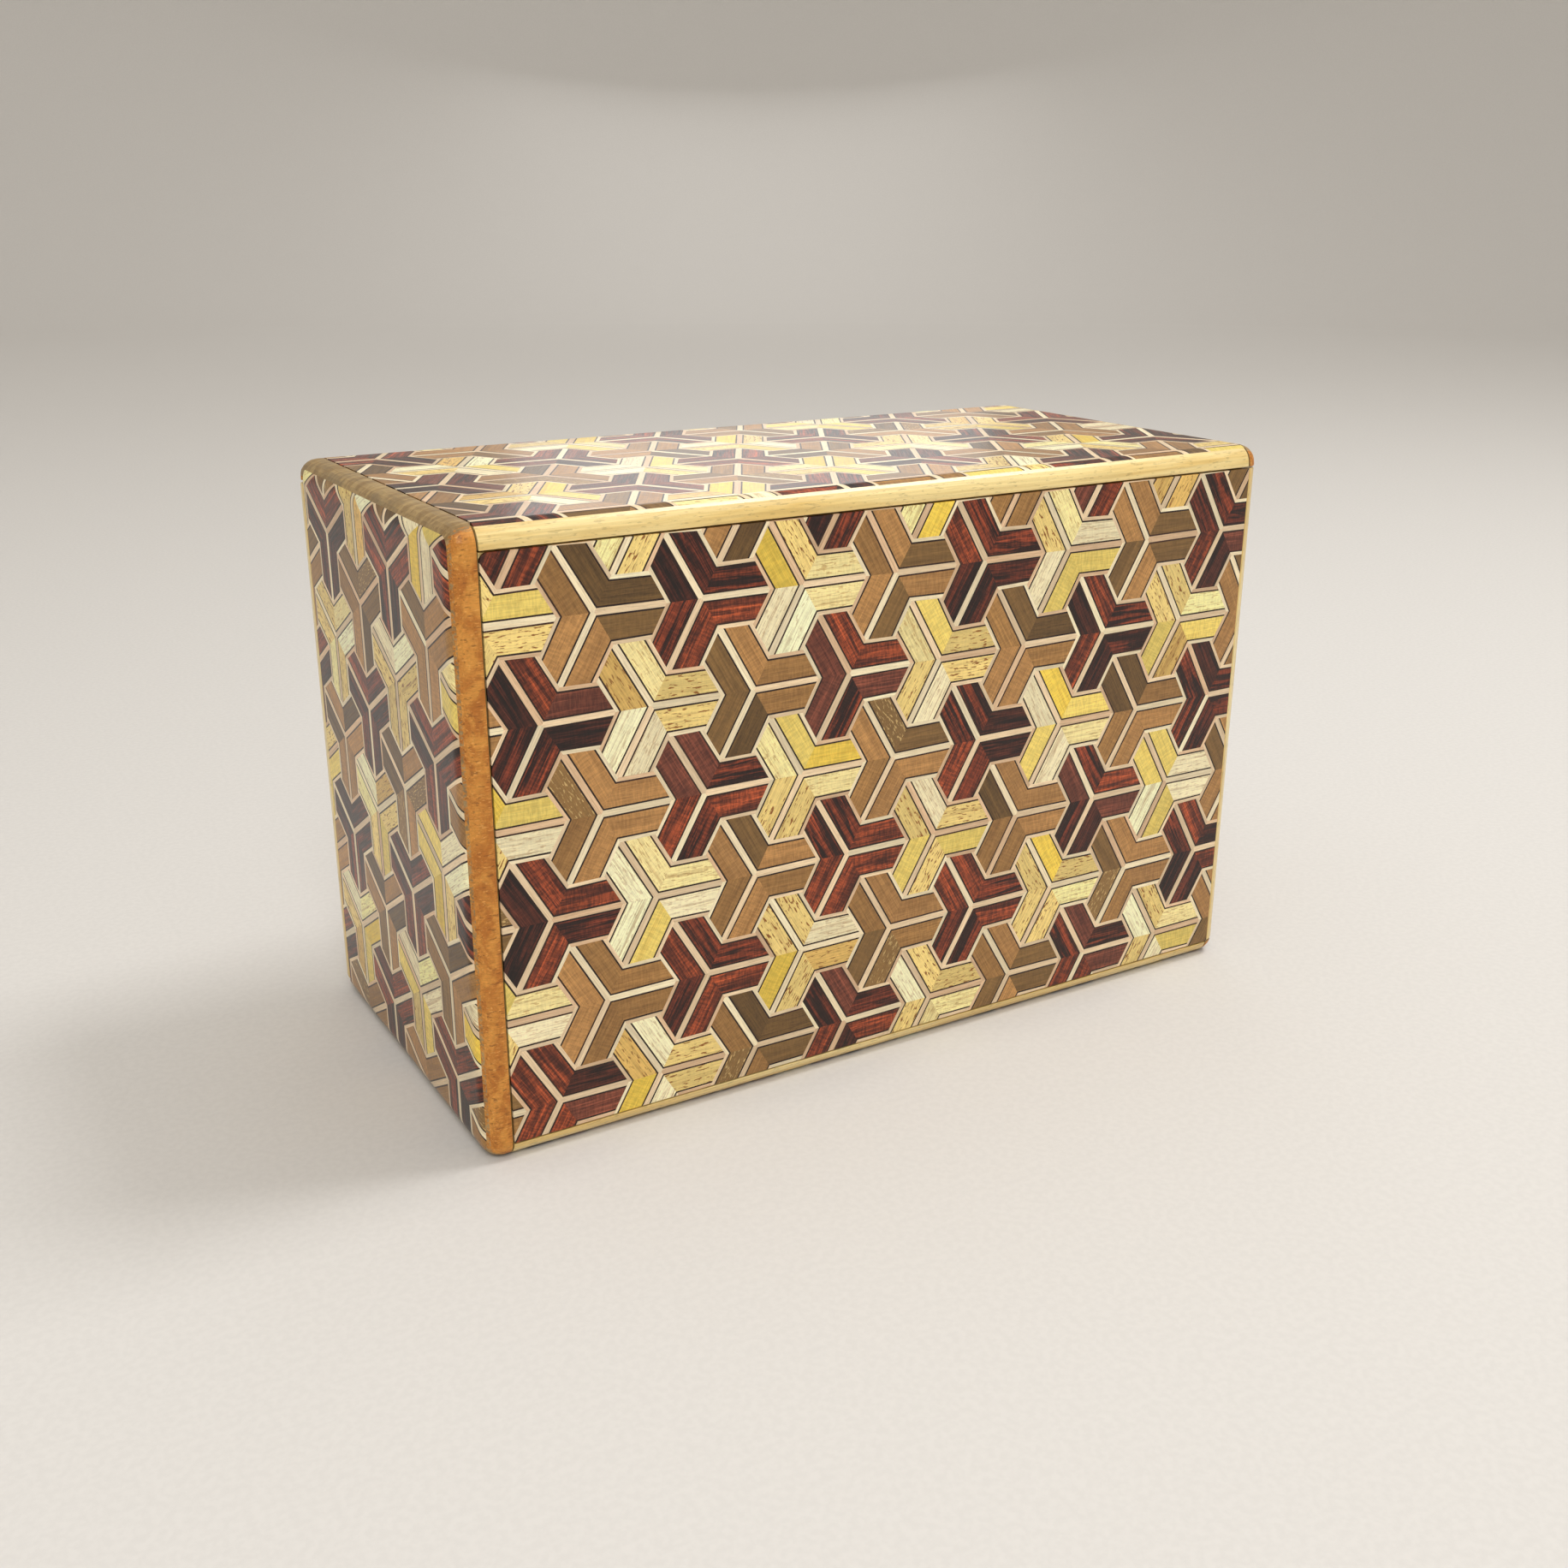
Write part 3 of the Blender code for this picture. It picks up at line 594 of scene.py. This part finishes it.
def make_face(face, materials):
    """Build one veneered face and put it in place of its CAD veneer."""
    across, up, outward = Vector(face.across), Vector(face.up), Vector(face.outward)
    box_low, box_high = CAD_BOX[0] / MM, CAD_BOX[1] / MM
    middle, reach = (box_low + box_high) / 2, (box_high - box_low) / 2
    centre = middle + outward * abs(reach.dot(outward))
    half = Vector((abs(reach.dot(across)), abs(reach.dot(up))))
    ends = [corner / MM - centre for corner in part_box(face.node)]
    spans = [sorted(end.dot(axis) for end in ends) for axis in (across, up)]
    low, high = (Vector((spans[0][i], spans[1][i])) for i in (0, 1))
    low, high, radii = sheet_reach(face, low, high, half)
    tile = Vector(face.tile) - centre
    face = face._replace(tile=(tile.dot(across), tile.dot(up)))
    mesh = sheet_mesh(face, half, low, high, radii)
    turn = Matrix((across, up, outward)).transposed().to_4x4()
    mesh.transform(Matrix.Translation(centre * MM) @ turn @ Matrix.Scale(MM, 4))
    for material in materials:
        mesh.materials.append(material)
    thing = bpy.data.objects.new(face.name, mesh)
    bpy.context.scene.collection.objects.link(thing)
    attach(thing, face.body)
    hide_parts(face.node)
    return thing


FRONT_ROW = ("brown", "dark", "pale")
TOP_ROW = ("pale", "brown", "dark")
FACES = (
    Face("lid_marquetry", "lid", "lid_veneer", (1, 0, 0), (0, 0, 1), (0, -1, 0),
         (-54.44, 0.0, 83.84), (1, 0), (0, -1), FRONT_ROW, 11),
    Face("upper_marquetry", "carcass", "upper_side_veneer", (1, 0, 0), (0, 1, 0), (0, 0, 1),
         (-55.24, -18.07, 0.0), (-1, 0), (0, 1), TOP_ROW, 23),
    Face("left_marquetry", "left_end", "left_end_veneer", (0, -1, 0), (0, 0, 1), (-1, 0, 0),
         (0.0, -25.24, 79.37), (0, -1), (-1, 0), FRONT_ROW, 37),
    Face("right_marquetry", "right_end", "right_end_veneer", (0, 1, 0), (0, 0, 1), (1, 0, 0),
         (0.0, -21.0, 80.6), (0, -1), (1, 0), FRONT_ROW, 41),
    Face("base_marquetry", "base", "base_veneer", (-1, 0, 0), (0, 0, 1), (0, 1, 0),
         (55.6, 0.0, 82.9), (1, 0), (0, -1), FRONT_ROW, 53),
    Face("lower_marquetry", "carcass", "lower_side_veneer", (1, 0, 0), (0, -1, 0), (0, 0, -1),
         (-52.0, -14.5, 0.0), (1, 0), (0, -1), FRONT_ROW, 67),
)


# ---------------------------------------------------------------- boards

BOARDS = {
    "cream_wood_x": ("upper_side_board", "lower_side_board", "lid_board", "base_board"),
    "cream_wood_z": ("lid_lipping", "base_lipping"),
    "orange_end_wood": ("left_end_board", "right_end_board"),
    "inner_wood": ("left_inner_wall", "right_inner_wall", "inner_floor"),
    "runner_wood": ("left_rail_upper", "left_rail_lower", "right_rail_upper", "right_rail_lower",
                    "left_stop_peg", "right_stop_peg", "base_stop_peg", "left_key", "right_key",
                    "base_key", "lid_tongue_upper", "lid_tongue_lower", "base_tongue_upper",
                    "base_tongue_lower"),
}


def board_materials():
    """The solid woods."""
    return {
        "cream_wood_x": board_wood("cream_wood_x", "X", (241, 217, 152), (227, 193, 118), 0.7, 0.6),
        "cream_wood_z": board_wood("cream_wood_z", "Z", (241, 217, 152), (227, 193, 118), 0.7, 0.6),
        "orange_end_wood": end_wood(),
        "inner_wood": board_wood("inner_wood", "Z", (226, 196, 142), (208, 168, 108), 0.0, 0.4),
        "runner_wood": board_wood("runner_wood", "Y", (150, 104, 60), (118, 78, 42), 0.0, 0.6),
    }


def ease_edges(thing):
    """Join a CAD board's triangles, round its own edges a little and shade its rounding smooth."""
    weld = thing.modifiers.new("Weld", "WELD")
    weld.merge_threshold = WELD * MM
    level = thing.modifiers.new("Level", "DECIMATE")
    level.decimate_type = "DISSOLVE"
    level.angle_limit = math.radians(LEVEL_ANGLE)
    arris = thing.modifiers.new("Arris", "BEVEL")
    arris.width = ARRIS * MM
    arris.segments = 2
    arris.limit_method = "ANGLE"
    arris.angle_limit = math.radians(SMOOTH_ANGLE)
    weight = thing.modifiers.new("Weight", "WEIGHTED_NORMAL")
    weight.keep_sharp = True


def dress_boards():
    """Give every CAD board its wood and eased edges."""
    materials = board_materials()
    for name, nodes in BOARDS.items():
        for node in nodes:
            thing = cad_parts[node]
            thing.data.materials.clear()
            thing.data.materials.append(materials[name])
            ease_edges(thing)


# ---------------------------------------------------------------- studio

def floor_rings():
    """Radius and height of the floor's rings, from its flat to the top of its sweep."""
    rings = []
    for step in range(SWEEP_STEPS + 1):
        angle = step / SWEEP_STEPS * math.pi / 2
        rings.append((FLOOR_FLAT + FLOOR_SWEEP * math.sin(angle), FLOOR_SWEEP * (1 - math.cos(angle))))
    return rings + [(FLOOR_FLAT + FLOOR_SWEEP, FLOOR_HEIGHT)]


def floor_mesh():
    """The floor: a flat disc and its sweep."""
    shape = bmesh.new()
    turns = [step / FLOOR_TURNS * math.tau for step in range(FLOOR_TURNS)]
    loops = [[shape.verts.new((radius * math.cos(turn), radius * math.sin(turn), height))
              for turn in turns] for radius, height in floor_rings()]
    shape.faces.new(loops[0])
    for inner, outer in zip(loops, loops[1:]):
        for i in range(FLOOR_TURNS):
            shape.faces.new((inner[i - 1], outer[i - 1], outer[i], inner[i])).smooth = True
    mesh = bpy.data.meshes.new("floor")
    shape.to_mesh(mesh)
    shape.free()
    return mesh


def make_floor():
    """A wide, plain, pale floor that rises all round."""
    floor = bpy.data.objects.new("floor", floor_mesh())
    bpy.context.scene.collection.objects.link(floor)
    material = bpy.data.materials.new("pale_floor")
    material.use_nodes = True
    tree = material.node_tree
    shader = tree.nodes["Principled BSDF"]
    place = add(tree, "ShaderNodeTexCoord").outputs["Object"]
    specks = noise(tree, place, (SPECKS_PER_METRE,) * 3, 2.0, 0.5)
    colour = blend(tree, between(tree, specks, 0.3, 0.7), linear(FLOOR_COLOUR), linear(FLOOR_SPECKS))
    tree.links.new(colour, shader.inputs["Base Color"])
    shader.inputs["Roughness"].default_value = 0.85
    shader.inputs["Specular IOR Level"].default_value = 0.2
    floor.data.materials.append(material)


def make_lamp(name, place, size, power):
    """A soft square lamp that faces the box."""
    data = bpy.data.lights.new(name, "AREA")
    data.shape = "SQUARE"
    data.size = size
    data.energy = power
    lamp = bpy.data.objects.new(name, data)
    lamp.location = place
    lamp.rotation_euler = (MIDDLE - Vector(place)).to_track_quat("-Z", "Y").to_euler()
    lamp.visible_camera = False
    bpy.context.scene.collection.objects.link(lamp)


def make_world():
    """Even pale light from above the floor's rim."""
    world = bpy.data.worlds.new("studio")
    world.use_nodes = True
    background = world.node_tree.nodes["Background"]
    background.inputs["Color"].default_value = linear(WORLD_COLOUR)
    background.inputs["Strength"].default_value = WORLD_LIGHT
    bpy.context.scene.world = world


def make_camera():
    """The camera, in front of the box, to its left and a little above it."""
    camera = bpy.data.objects.new("camera", bpy.data.cameras.new("camera"))
    camera.data.sensor_width = SENSOR
    camera.data.lens = CAMERA_LENS
    camera.data.clip_start = 0.01
    camera.data.clip_end = 50.0
    camera.location = [value * MM for value in CAMERA_PLACE]
    camera.rotation_euler = (math.radians(90 - CAMERA_TILT), 0.0, math.radians(-CAMERA_TURN))
    bpy.context.scene.collection.objects.link(camera)
    bpy.context.scene.camera = camera


def make_studio():
    """Floor, lamps, world and camera."""
    make_floor()
    for lamp in LAMPS:
        make_lamp(*lamp)
    make_world()
    make_camera()
    bpy.context.scene.view_settings.view_transform = "Standard"


tile_materials = [tile_wood(kind) for kind in KINDS]
for face in FACES:
    make_face(face, tile_materials)
dress_boards()
make_studio()
